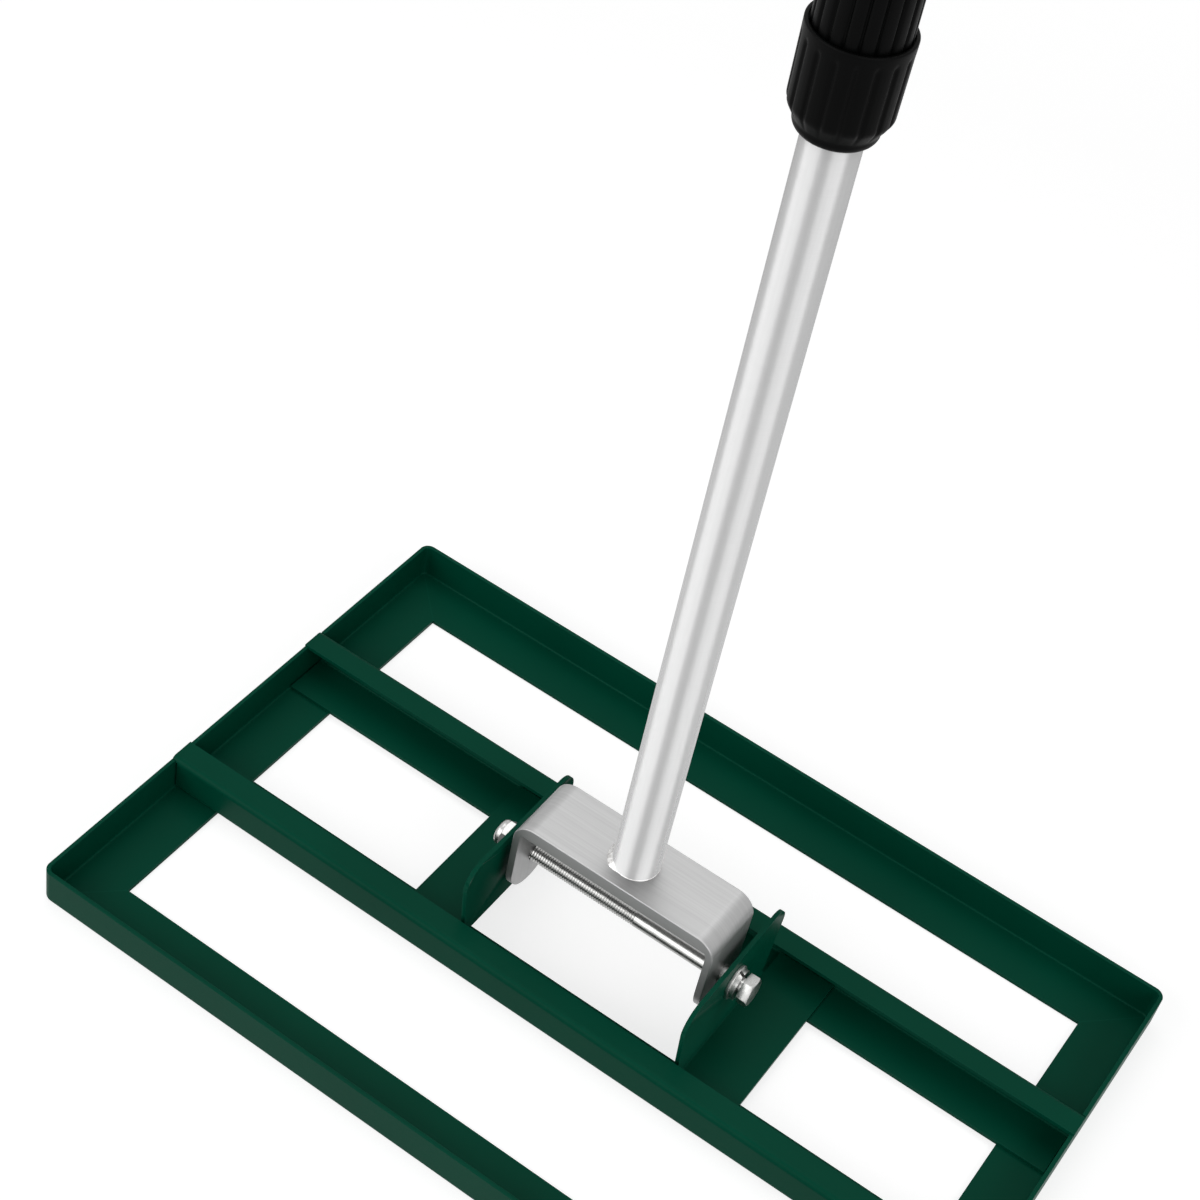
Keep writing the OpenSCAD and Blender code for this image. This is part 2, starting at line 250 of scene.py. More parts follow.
def new_group(name, inputs, outputs):
    """Shader node group with named float sockets, and its input and output nodes."""
    tree = bpy.data.node_groups.new(name, "ShaderNodeTree")
    for label, default in inputs.items():
        made = tree.interface.new_socket(label, in_out="INPUT", socket_type="NodeSocketFloat")
        made.default_value = default
    for label in outputs:
        tree.interface.new_socket(label, in_out="OUTPUT", socket_type="NodeSocketFloat")
    return tree, tree.nodes.new("NodeGroupInput"), tree.nodes.new("NodeGroupOutput")


def math_node(tree, operation, a, b, clamp=False):
    """Result of a math node on two values, each a number or a socket."""
    node = tree.nodes.new("ShaderNodeMath")
    node.operation = operation
    node.use_clamp = clamp
    for slot, value in zip(node.inputs, (a, b)):
        if isinstance(value, (int, float)):
            slot.default_value = value
        else:
            tree.links.new(value, slot)
    return node.outputs[0]


def grain_group():
    """Fine grain or streaks: noise on Object coordinates with a stretch for each axis."""
    name = "surface_grain"
    if name in bpy.data.node_groups:
        return bpy.data.node_groups[name]
    tree, start, end = new_group(
        name,
        {
            "Scale X": 1000.0,
            "Scale Y": 1000.0,
            "Scale Z": 1000.0,
            "Detail": 3.0,
            "Low": 0.0,
            "High": 1.0,
        },
        ("Height", "Mask"),
    )
    coords = tree.nodes.new("ShaderNodeTexCoord")
    join = tree.nodes.new("ShaderNodeCombineXYZ")
    for axis in "XYZ":
        tree.links.new(start.outputs["Scale " + axis], join.inputs[axis])
    scaled = tree.nodes.new("ShaderNodeVectorMath")
    scaled.operation = "MULTIPLY"
    tree.links.new(coords.outputs["Object"], scaled.inputs[0])
    tree.links.new(join.outputs[0], scaled.inputs[1])
    noise = tree.nodes.new("ShaderNodeTexNoise")
    set_inputs(noise, {"Scale": 1.0, "Roughness": 0.6})
    tree.links.new(scaled.outputs[0], noise.inputs["Vector"])
    tree.links.new(start.outputs["Detail"], noise.inputs["Detail"])
    ramp = tree.nodes.new("ShaderNodeMapRange")
    set_inputs(ramp, {"From Min": 0.3, "From Max": 0.7})
    tree.links.new(noise.outputs["Fac"], ramp.inputs["Value"])
    tree.links.new(start.outputs["Low"], ramp.inputs["To Min"])
    tree.links.new(start.outputs["High"], ramp.inputs["To Max"])
    tree.links.new(noise.outputs["Fac"], end.inputs["Height"])
    tree.links.new(ramp.outputs["Result"], end.inputs["Mask"])
    return tree


def edge_group():
    """Mask that is 1 on outer edges and 0 on flat faces."""
    name = "edge_mask"
    if name in bpy.data.node_groups:
        return bpy.data.node_groups[name]
    tree, start, end = new_group(name, {"Width": 0.0006, "Gain": 4.0}, ("Mask",))
    rounded = tree.nodes.new("ShaderNodeBevel")
    rounded.samples = 4
    tree.links.new(start.outputs["Width"], rounded.inputs["Radius"])
    plain = tree.nodes.new("ShaderNodeNewGeometry")
    dot = tree.nodes.new("ShaderNodeVectorMath")
    dot.operation = "DOT_PRODUCT"
    tree.links.new(rounded.outputs["Normal"], dot.inputs[0])
    tree.links.new(plain.outputs["Normal"], dot.inputs[1])
    away = math_node(tree, "SUBTRACT", 1.0, dot.outputs["Value"])
    mask = math_node(tree, "MULTIPLY", away, start.outputs["Gain"], clamp=True)
    tree.links.new(mask, end.inputs["Mask"])
    return tree


def set_inputs(node, values):
    """Constants on a node's own sockets."""
    for label, value in values.items():
        node.inputs[label].default_value = value


def add_group(tree, group, values):
    """Places a node group in a material with its own values."""
    node = tree.nodes.new("ShaderNodeGroup")
    node.node_tree = group
    set_inputs(node, values)
    return node


def add_grain(tree, scales, detail=3.0, low=0.0, high=1.0):
    """Grain with a scale for each axis, whose mask runs from low to high."""
    values = {"Scale " + axis: scale for axis, scale in zip("XYZ", scales)}
    return add_group(tree, grain_group(), {**values, "Detail": detail, "Low": low, "High": high})


def add_bump(tree, shader, *grains):
    """Bump nodes in a row, one for each (grain, distance in metres, strength)."""
    last = None
    for grain, distance, strength in grains:
        bump = tree.nodes.new("ShaderNodeBump")
        set_inputs(bump, {"Strength": strength, "Distance": distance})
        tree.links.new(grain.outputs["Height"], bump.inputs["Height"])
        if last:
            tree.links.new(last, bump.inputs["Normal"])
        last = bump.outputs["Normal"]
    tree.links.new(last, shader.inputs["Normal"])


def blend_colors(tree, mask, first, second):
    """Mix of two colours by a mask, each a plain colour or a socket."""
    mix = tree.nodes.new("ShaderNodeMix")
    mix.data_type = "RGBA"
    tree.links.new(mask, mix.inputs[0])
    slots = [s for s in mix.inputs if s.type == "RGBA"]
    for slot, value in zip(slots, (first, second)):
        if isinstance(value, tuple):
            slot.default_value = (*value, 1.0)
        else:
            tree.links.new(value, slot)
    return next(s for s in mix.outputs if s.type == "RGBA")


def lay_surface(tree, shader, tone, first, second, rough):
    """Colour that one grain blends, and roughness from the mask of the other."""
    color = blend_colors(tree, tone.outputs["Mask"], first, second)
    tree.links.new(color, shader.inputs["Base Color"])
    tree.links.new(rough.outputs["Mask"], shader.inputs["Roughness"])


def shade(color, factor):
    """Colour made darker or lighter by a factor."""
    return tuple(min(1.0, c * factor) for c in color)


def background_rays(tree):
    """1 for the rays that are to see a white background: camera, transmission and glossy."""
    path = tree.nodes.new("ShaderNodeLightPath")
    seen = math_node(
        tree, "MAXIMUM", path.outputs["Is Camera Ray"], path.outputs["Is Transmission Ray"]
    )
    return math_node(tree, "MAXIMUM", seen, path.outputs["Is Glossy Ray"])


# Finishes


def new_material(name):
    """New material, its node tree and its shader."""
    mat = bpy.data.materials.new(name)
    mat.use_nodes = True
    return mat, mat.node_tree, mat.node_tree.nodes["Principled BSDF"]


def made_once(lay_out):
    """Material of the function's name, laid out on the first call and shared after that."""

    @functools.wraps(lay_out)
    def material():
        name = lay_out.__name__
        if name in bpy.data.materials:
            return bpy.data.materials[name]
        mat, tree, shader = new_material(name)
        lay_out(tree, shader)
        return mat

    return material


@made_once
def green_powder_coat(tree, shader):
    """Satin coat with a slightly cloudy colour, a painted highlight along its edges and fine
    orange peel.
    """
    settings = bpy.context.scene.rake_coat
    color = tuple(settings.coat_color)
    rough = settings.coat_roughness
    cloud = add_grain(tree, (14, 14, 14), 2.0)
    peel = add_grain(tree, (900, 900, 900), 2.0)
    speck = add_grain(tree, (3200, 3200, 3200), 1.0, rough - 0.06, rough + 0.08)
    body = blend_colors(tree, cloud.outputs["Mask"], shade(color, 0.93), shade(color, 1.07))
    edge = add_group(tree, edge_group(), {"Width": 0.0007, "Gain": 1.6})
    # Painted highlight: the rounded edges get a paler, greener colour, as if they catch the light.
    painted_edge_highlight = (color[0] + 0.004, color[1] * 1.5 + 0.004, color[2] * 1.6 + 0.006)
    whole = blend_colors(tree, edge.outputs["Mask"], body, painted_edge_highlight)
    tree.links.new(whole, shader.inputs["Base Color"])
    tree.links.new(speck.outputs["Mask"], shader.inputs["Roughness"])
    set_inputs(shader, {"Specular IOR Level": SATIN_SPECULAR})
    add_bump(tree, shader, (peel, 0.00003, 0.5))


@made_once
def brushed_flat_bar(tree, shader):
    """Flat bar, brushed along its length."""
    color = bpy.context.scene.rake_steel.bar_color
    fine = add_grain(tree, (45, 4200, 45), 3.0, 0.38, 0.52)
    broad = add_grain(tree, (12, 900, 12), 3.0)
    lay_surface(tree, shader, broad, shade(color, 0.94), shade(color, 1.05), fine)
    set_inputs(shader, {"Metallic": 1.0})
    add_bump(tree, shader, (broad, 0.00001, 0.5), (fine, 0.000006, 0.6))


@made_once
def bright_tube_steel(tree, shader):
    """Bright tube with a fine grain that draws its reflections out one way."""
    color = bpy.context.scene.rake_steel.tube_color
    fine = add_grain(tree, (90, 90, 5200), 3.0, 0.5, 0.58)
    broad = add_grain(tree, (420, 420, 5), 2.0)
    lay_surface(tree, shader, broad, shade(color, 0.97), shade(color, 1.02), fine)
    set_inputs(
        shader,
        {
            "Metallic": 1.0,
            "Specular Tint": (0.0, 0.0, 0.0, 1.0),
            "Anisotropic": 1.0,
            "Anisotropic Rotation": 0.25,
        },
    )
    add_bump(tree, shader, (broad, 0.000002, 0.3))


@made_once
def weld_bead_steel(tree, shader):
    """Bare weld metal, bright and stained in small spots."""
    grit = add_grain(tree, (1400, 1400, 1400), 3.0, 0.34, 0.52)
    stain = add_grain(tree, (700, 700, 700), 3.0)
    lay_surface(tree, shader, stain, (0.42, 0.41, 0.4), (0.92, 0.92, 0.91), grit)
    set_inputs(shader, {"Metallic": 1.0})
    add_bump(tree, shader, (grit, 0.0002, 0.8))


@made_once
def bright_fastener_steel(tree, shader):
    """Smooth steel of the bolt, washers and nut, with traces of turning."""
    turned = add_grain(tree, (2600, 500, 500), 2.0, 0.26, 0.33)
    tone = add_grain(tree, (260, 260, 260), 3.0)
    lay_surface(tree, shader, tone, (0.4, 0.4, 0.39), (0.52, 0.52, 0.51), turned)
    set_inputs(shader, {"Metallic": 1.0})
    add_bump(tree, shader, (turned, 0.000002, 0.4))


@made_once
def black_moulded_plastic(tree, shader):
    """Satin black plastic with a fine moulded grain."""
    color = bpy.context.scene.rake_plastic.plastic_color
    spark = add_grain(tree, (2400, 2400, 2400), 2.0, 0.38, 0.5)
    tone = add_grain(tree, (60, 60, 60), 2.0)
    lay_surface(tree, shader, tone, shade(color, 0.85), shade(color, 1.15), spark)
    set_inputs(shader, {"Specular IOR Level": SATIN_SPECULAR})
    add_bump(tree, shader, (spark, 0.00002, 0.4))


@made_once
def black_grip_rubber(tree, shader):
    """Matte rubber with a pebbled face and a trace of dust."""
    pebble = add_grain(tree, (1500, 1500, 1500), 2.0, 0.6, 0.78)
    dust = add_grain(tree, (45, 45, 30), 4.0)
    lay_surface(tree, shader, dust, (0.007, 0.007, 0.007), (0.014, 0.014, 0.0135), pebble)
    set_inputs(shader, {"Specular IOR Level": 0.4})
    add_bump(tree, shader, (pebble, 0.00006, 0.5))


@made_once
def natural_nylon(tree, shader):
    """Undyed nylon of the clamp ring and of the ring in the lock nut."""
    tone = add_grain(tree, (180, 180, 180), 3.0)
    fine = add_grain(tree, (2000, 2000, 2000), 2.0, 0.42, 0.56)
    lay_surface(tree, shader, tone, (0.7, 0.69, 0.64), (0.78, 0.77, 0.73), fine)
    add_bump(tree, shader, (fine, 0.00002, 0.3))


# Mesh tools, in millimetres until a piece is finished


def cad_copy(node):
    """The CAD node's mesh as a merged bmesh in millimetres, with flat faces joined."""
    bm = bmesh.new()
    bm.from_mesh(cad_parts[node].data)
    bmesh.ops.scale(bm, vec=(1 / MM,) * 3, verts=bm.verts)
    bmesh.ops.remove_doubles(bm, verts=bm.verts, dist=0.002)
    bmesh.ops.dissolve_limit(
        bm,
        angle_limit=math.radians(0.6),
        verts=bm.verts,
        edges=bm.edges,
    )
    return bm


def sharp_edges(bm, angle=35.0, keep=None):
    """Edges that turn by more than the angle, in degrees, of those that keep lets through."""
    limit = math.radians(angle)
    return [
        e
        for e in bm.edges
        if len(e.link_faces) == 2
        and e.calc_face_angle(0.0) > limit
        and (keep is None or keep(e))
    ]


def round_edges(bm, edges, offset, segments=2):
    """Rounds edges, if there are any, by an offset in millimetres."""
    if edges:
        bmesh.ops.bevel(
            bm,
            geom=edges,
            offset=offset,
            offset_type="OFFSET",
            segments=segments,
            profile=0.5,
            affect="EDGES",
            clamp_overlap=True,
            material=-1,
        )


def section(points):
    """Closed loop of a few vertices, each a radius and a height, in the XZ plane."""
    bm = bmesh.new()
    verts = [bm.verts.new((r, 0.0, z)) for r, z in points]
    for a, b in zip(verts, verts[1:] + verts[:1]):
        bm.edges.new((a, b))
    return bm


def spin_section(bm, steps):
    """Turns a closed section round Z into a solid."""
    bmesh.ops.spin(
        bm,
        geom=bm.verts[:] + bm.edges[:],
        cent=(0, 0, 0),
        axis=(0, 0, 1),
        angle=2 * math.pi,
        steps=steps,
        use_merge=True,
        use_duplicate=False,
    )
    bmesh.ops.remove_doubles(bm, verts=bm.verts, dist=0.0005)
    bmesh.ops.recalc_face_normals(bm, faces=bm.faces)


def ring_edges(bm, radius, height, slack=0.02):
    """Edges of the circle of that radius and height."""

    def near(v):
        return abs(v.co.xy.length - radius) < slack and abs(v.co.z - height) < slack

    return [e for e in bm.edges if near(e.verts[0]) and near(e.verts[1])]


def round_rings(bm, rings):
    """Rounds the circles of a turned shape: radius, height, offset and segments of each."""
    for radius, height, offset, segments in rings:
        round_edges(bm, ring_edges(bm, radius, height), offset, segments)


def cut_lengthwise(bm, low, high, cuts, least_radius):
    """Cuts the upright edges of a turned shape that span these heights."""
    edges = [
        e
        for e in bm.edges
        if min(v.co.z for v in e.verts) < low + TIGHT
        and max(v.co.z for v in e.verts) > high - TIGHT
        and min(v.co.xy.length for v in e.verts) > least_radius
    ]
    bmesh.ops.subdivide_edges(bm, edges=edges, cuts=cuts, use_grid_fill=True)


def cut_plane(bm, place, normal, clear_outer=False):
    """Cuts the whole shape along a plane, and can clear what lies beyond it."""
    bmesh.ops.bisect_plane(
        bm,
        geom=bm.verts[:] + bm.edges[:] + bm.faces[:],
        plane_co=place,
        plane_no=normal,
        clear_outer=clear_outer,
    )


def close_openings(bm):
    """Fills the holes that cuts leave."""
    rims = [e for e in bm.edges if len(e.link_faces) == 1]
    bmesh.ops.holes_fill(bm, edges=rims, sides=0)


def set_radius(v, radius):
    """Moves a vertex to that distance from the upright axis."""
    factor = radius / v.co.xy.length
    v.co.x *= factor
    v.co.y *= factor


def smooth_step(low, high, value):
    """0 below low, 1 above high, and a smooth change between them."""
    t = max(0.0, min(1.0, (value - low) / (high - low)))
    return t * t * (3 - 2 * t)


def finish_piece(name, bm, material, body, nodes, smooth=35.0, weighted=True):
    """Turns a bmesh in millimetres into a piece that rides on a body."""
    bmesh.ops.scale(bm, vec=(MM,) * 3, verts=bm.verts)
    mesh = bpy.data.meshes.new(name)
    bm.to_mesh(mesh)
    bm.free()
    mesh.shade_smooth()
    mesh.set_sharp_from_angle(angle=math.radians(smooth))
    mesh.materials.append(material)
    piece = bpy.data.objects.new(name, mesh)
    bpy.context.scene.collection.objects.link(piece)
    if weighted:
        modifier = piece.modifiers.new("Weighted normals", "WEIGHTED_NORMAL")
        modifier.keep_sharp = True
        modifier.weight = 100
    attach(piece, body)
    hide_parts(*nodes)


def dress_node(node, material):
    """Gives a CAD node that stays its material."""
    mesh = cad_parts[node].data
    mesh.materials.clear()
    mesh.materials.append(material)


class RakeOperator(bpy.types.Operator):
    """Shared options of the operators."""

    bl_options = {"REGISTER", "UNDO"}


class RAKE_OT_coated_frame(RakeOperator):
    """Make the coated rails, crossbars and brackets."""

    bl_idname = "rake.coated_frame"
    bl_label = "Coated frame"
    lip_sink = 1.0
    notch_end = 0.02

    def let_lips_in(self, bm):
        """Shallow notches in the top of a side wall, where the lips of the crossbars cross it."""
        end = self.notch_end
        outer = abs(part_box("front_crossbar")[0].y) / MM
        inner = outer - LIP_WIDTH
        for side in (-1, 1):
            for place in (inner, inner + end, outer - end, outer):
                cut_plane(bm, (0, side * place, 0), (0, 1, 0))
        for v in bm.verts:
            if inner + end / 2 < abs(v.co.y) < outer - end / 2 and v.co.z > WALL_MIDDLE_Z:
                v.co.z -= self.lip_sink

    def execute(self, context):
        offset = context.scene.rake_coat.edge_round / MM
        half_l = abs(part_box("left_rail")[0].x) / MM
        half_w = abs(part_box("front_rail")[0].y) / MM

        def on_mitre(v):
            return abs((half_l - abs(v.co.x)) - (half_w - abs(v.co.y))) < TIGHT

        for node in ("front_rail", "rear_rail", "left_rail", "right_rail"):
            bm = cad_copy(node)
            edges = sharp_edges(bm, keep=lambda e: not all(on_mitre(v) for v in e.verts))
            round_edges(bm, edges, offset)
            if node in ("left_rail", "right_rail"):
                self.let_lips_in(bm)
            finish_piece(node + "_sheet", bm, green_powder_coat(), "head", [node])
        for node in ("front_crossbar", "rear_crossbar", "left_bracket", "right_bracket"):
            bm = cad_copy(node)
            round_edges(bm, sharp_edges(bm), offset)
            if node.endswith("crossbar"):
                for v in bm.verts:
                    v.co.z -= self.lip_sink if v.co.z > WALL_MIDDLE_Z else 0.0
            finish_piece(node + "_sheet", bm, green_powder_coat(), "head", [node])
        return {"FINISHED"}


class RAKE_OT_clevis_bar(RakeOperator):
    """Make the clevis and its stiffener from flat bar."""

    bl_idname = "rake.clevis_bar"
    bl_label = "Clevis"
    inner_round = 0.15
    plate_round = 0.2

    def execute(self, context):
        edge = context.scene.rake_steel.bar_edge / MM
        plate_foot, plate_top = (corner.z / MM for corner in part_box("clevis_stiffener"))
        leg_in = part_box("clevis")[1].x / MM - (CLEVIS_TOP - plate_top)
        leg_top = plate_foot - 4.0

        def on_inside(e):
            middle = (e.verts[0].co + e.verts[1].co) / 2
            return middle.z < plate_top + LOOSE and abs(middle.x) < leg_in + LOOSE

        def on_inner_leg(e):
            return on_inside(e) and all(v.co.z < leg_top for v in e.verts)

        bm = cad_copy("clevis")
        outside = sharp_edges(bm, keep=lambda e: not on_inside(e))
        round_edges(bm, outside, edge, 3)
        round_edges(bm, sharp_edges(bm, keep=on_inner_leg), self.inner_round)
        finish_piece(
            "clevis_bar", bm, brushed_flat_bar(), "lower_handle", ["clevis"]
        )

        bm = cad_copy("clevis_stiffener")
        low = sharp_edges(bm, keep=lambda e: all(v.co.z < plate_foot + LOOSE for v in e.verts))
        round_edges(bm, low, self.plate_round)
        finish_piece(
            "stiffener_plate",
            bm,
            brushed_flat_bar(),
            "lower_handle",
            ["clevis_stiffener"],
        )
        return {"FINISHED"}


class RAKE_OT_weld_bead(RakeOperator):
    """Make the rippled weld bead round the foot of the tube."""

    bl_idname = "rake.weld_bead"
    bl_label = "Weld bead"
    width = 3.2
    rise = 3.0
    steps_of_ripple = 12
    # Depth of a ripple, and how far its middle runs ahead of its edges, as a share of its pitch.
    ripple_depth = 0.22
    ripple_lean = 0.35
    # How far the bead swells past its straight face, and the share of that out and up.
    swell = 0.1
    slant = 0.7
    # Unevenness: height, number of waves round the tube and start of each.
    wanders = ((0.1, 5, 1.0), (0.07, 11, 0.0))
    # Degrees from the left of the tube, anticlockwise from above, where the bead falls to
    # nearly flat and where it rises again.
    falls = (50.0, 80.0)
    rises = (212.0, 250.0)
    # Share of the whole section that the bead has where it is full and where it is flat.
    full_share = 0.7
    flat_share = 0.12

    def fullness(self, place):
        """Share of the whole bead at a place: it is melted nearly flat at the front and right."""
        turned = (math.degrees(math.atan2(place.y, place.x)) + 180.0) % 360.0
        flat = smooth_step(*self.falls, turned) * (1 - smooth_step(*self.rises, turned))
        return self.full_share - (self.full_share - self.flat_share) * flat

    def execute(self, context):
        ripples = context.scene.rake_steel.weld_ripples
        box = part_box("tube_weld")
        foot = box[0].z / MM
        outer = box[1].x / MM
        inner = outer - self.width
        bm = section([(inner, foot), (outer, foot), (inner, foot + self.rise)])
        slope = max(bm.edges, key=lambda e: e.calc_length())
        bmesh.ops.subdivide_edges(bm, edges=[slope], cuts=9)
        spin_section(bm, ripples * self.steps_of_ripple)
        for v in bm.verts:
            radius = v.co.xy.length
            full = self.fullness(v.co)
            push = 0.0
            if radius > inner + 0.02:
                crown = 4 * (v.co.z - foot) / self.rise * (radius - inner) / (outer - inner)
                angle = math.atan2(v.co.y, v.co.x)
                wave = (angle / (2 * math.pi) * ripples + self.ripple_lean * crown) % 1.0
                ripple = self.ripple_depth * (0.5 - wave)
                wander = sum(h * math.sin(n * angle + start) for h, n, start in self.wanders)
                push = (self.swell + ripple + wander) * crown * full * self.slant
                set_radius(v, inner + (radius - inner) * full + push)
            v.co.z = foot + (v.co.z - foot) * full + push
        finish_piece(
            "weld_bead",
            bm,
            weld_bead_steel(),
            "lower_handle",
            ["tube_weld"],
            smooth=50.0,
            weighted=False,
        )
        return {"FINISHED"}


class RAKE_OT_tubes(RakeOperator):
    """Make the lower and upper tubes."""

    bl_idname = "rake.tubes"
    bl_label = "Tubes"
    steps = 128
    end_round = 0.25

    def execute(self, context):
        for node, body, wall in (
            ("lower_tube", "lower_handle", 1.0),
            ("upper_tube", "upper_handle", 0.9),
        ):
            low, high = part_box(node)
            radius = high.x / MM
            bore = radius - wall
            bottom, top = low.z / MM, high.z / MM
            bm = section([(bore, bottom), (radius, bottom), (radius, top), (bore, top)])
            spin_section(bm, self.steps)
            ends = ring_edges(bm, radius, top) + ring_edges(bm, radius, bottom)
            round_edges(bm, ends, self.end_round)
            finish_piece(
                node + "_wall",
                bm,
                bright_tube_steel(),
                body,
                [node],
                weighted=False,
            )
        dress_node("guide_plug", black_moulded_plastic())
        return {"FINISHED"}


class RAKE_OT_pivot_bolt(RakeOperator):
    """Make the bolt, its washers and its lock nut."""

    bl_idname = "rake.pivot_bolt"
    bl_label = "Pivot bolt"
    radius = 4.0
    head_height = 5.3
    end_chamfer = 0.9
    thread_steps = 28
    # Depth of the thread as a share of its pitch.
    thread_depth = 0.61
    # Ridge of the thread: share of the pitch along it, and share of the depth below the crest.
    ridge = ((0.0, 1.0), (0.12, 1.0), (0.44, 0.0), (0.56, 0.0), (0.88, 1.0), (1.0, 1.0))

    def thread(self, pitch, thread_end):
        """One ridge, wound along the axis, trimmed at both ends and chamfered at the free one."""
        depth = self.thread_depth * pitch
        turns = int((thread_end - BOLT_END_X) / pitch) + 2
        start = BOLT_END_X - pitch
        bm = bmesh.new()
        verts = [
            bm.verts.new((start + pitch * along, 0.0, self.radius - depth * below))
            for along, below in self.ridge
        ]
        for a, b in zip(verts, verts[1:]):
            bm.edges.new((a, b))
        bmesh.ops.spin(
            bm,
            geom=bm.verts[:] + bm.edges[:],
            cent=(0, 0, 0),
            axis=(1, 0, 0),
            dvec=(pitch / self.thread_steps, 0, 0),
            angle=2 * math.pi * turns,
            steps=self.thread_steps * turns,
            use_merge=False,
            use_duplicate=False,
        )
        bmesh.ops.remove_doubles(bm, verts=bm.verts, dist=0.01)
        cut_plane(bm, (BOLT_END_X + 0.02, 0, 0), (-1, 0, 0), clear_outer=True)
        cut_plane(bm, (thread_end, 0, 0), (1, 0, 0), clear_outer=True)
        close_openings(bm)
        bmesh.ops.recalc_face_normals(bm, faces=bm.faces)

        for v in bm.verts:
            limit = self.radius - self.end_chamfer + max(0.0, v.co.x - BOLT_END_X)
            length = math.hypot(v.co.y, v.co.z)
            if length > limit:
                v.co.y *= limit / length
                v.co.z *= limit / length
        return bm

    def shank(self, thread_end, head_x):
        """Plain shank, rounded where the thread starts, that runs a little into both its ends."""
        low, high = thread_end - 0.6, head_x + 0.2
        radius = self.radius - 0.02
        bm = bmesh.new()
        bmesh.ops.create_cone(
            bm,
            cap_ends=True,
            segments=64,
            radius1=radius,
            radius2=radius,
            depth=high - low,
            matrix=Matrix.Translation(((low + high) / 2, 0, 0))
            @ Matrix.Rotation(math.pi / 2, 4, "Y"),
        )
        round_edges(
            bm, sharp_edges(bm, keep=lambda e: all(v.co.x < thread_end for v in e.verts)), 0.5, 3
        )
        return bm

    def hexagon_head(self, head_x):
        """Head of the CAD bolt, cut off just inside its seat, with its edges eased."""
        bm = cad_copy("pivot_bolt")
        bmesh.ops.translate(bm, vec=(0, 0, -BOLT_Z), verts=bm.verts)
        cut_plane(bm, (head_x - 0.3, 0, 0), (-1, 0, 0), clear_outer=True)
        close_openings(bm)
        edges = sharp_edges(bm, 20.0, lambda e: all(v.co.x > head_x - TIGHT for v in e.verts))
        round_edges(bm, edges, 0.22, 3)
        return bm

    def execute(self, context):
        settings = context.scene.rake_steel
        head_x = HEAD_END_X - self.head_height
        thread_end = BOLT_END_X + settings.thread_length / MM
        bm = self.thread(settings.thread_pitch / MM, thread_end)
        for part in (self.shank(thread_end, head_x), self.hexagon_head(head_x)):
            mesh = bpy.data.meshes.new("bolt_part")
            part.to_mesh(mesh)
            part.free()
            bm.from_mesh(mesh)
            bpy.data.meshes.remove(mesh)
        bmesh.ops.translate(bm, vec=(0, 0, BOLT_Z), verts=bm.verts)
        finish_piece(
            "hex_bolt",
            bm,
            bright_fastener_steel(),
            "head",
            ["pivot_bolt"],
            smooth=38.0,
            weighted=False,
        )

        for node, name, offset in (
            ("flat_washer", "plain_washer", 0.25),
            ("spring_washer", "split_washer", 0.2),
            ("lock_nut", "lock_nut_body", 0.22),
        ):
            bm = cad_copy(node)
            round_edges(bm, sharp_edges(bm, 28.0), offset, 3)
            finish_piece(
                name, bm, bright_fastener_steel(), "head", [node], smooth=40.0
            )
        dress_node("nut_insert", natural_nylon())
        return {"FINISHED"}


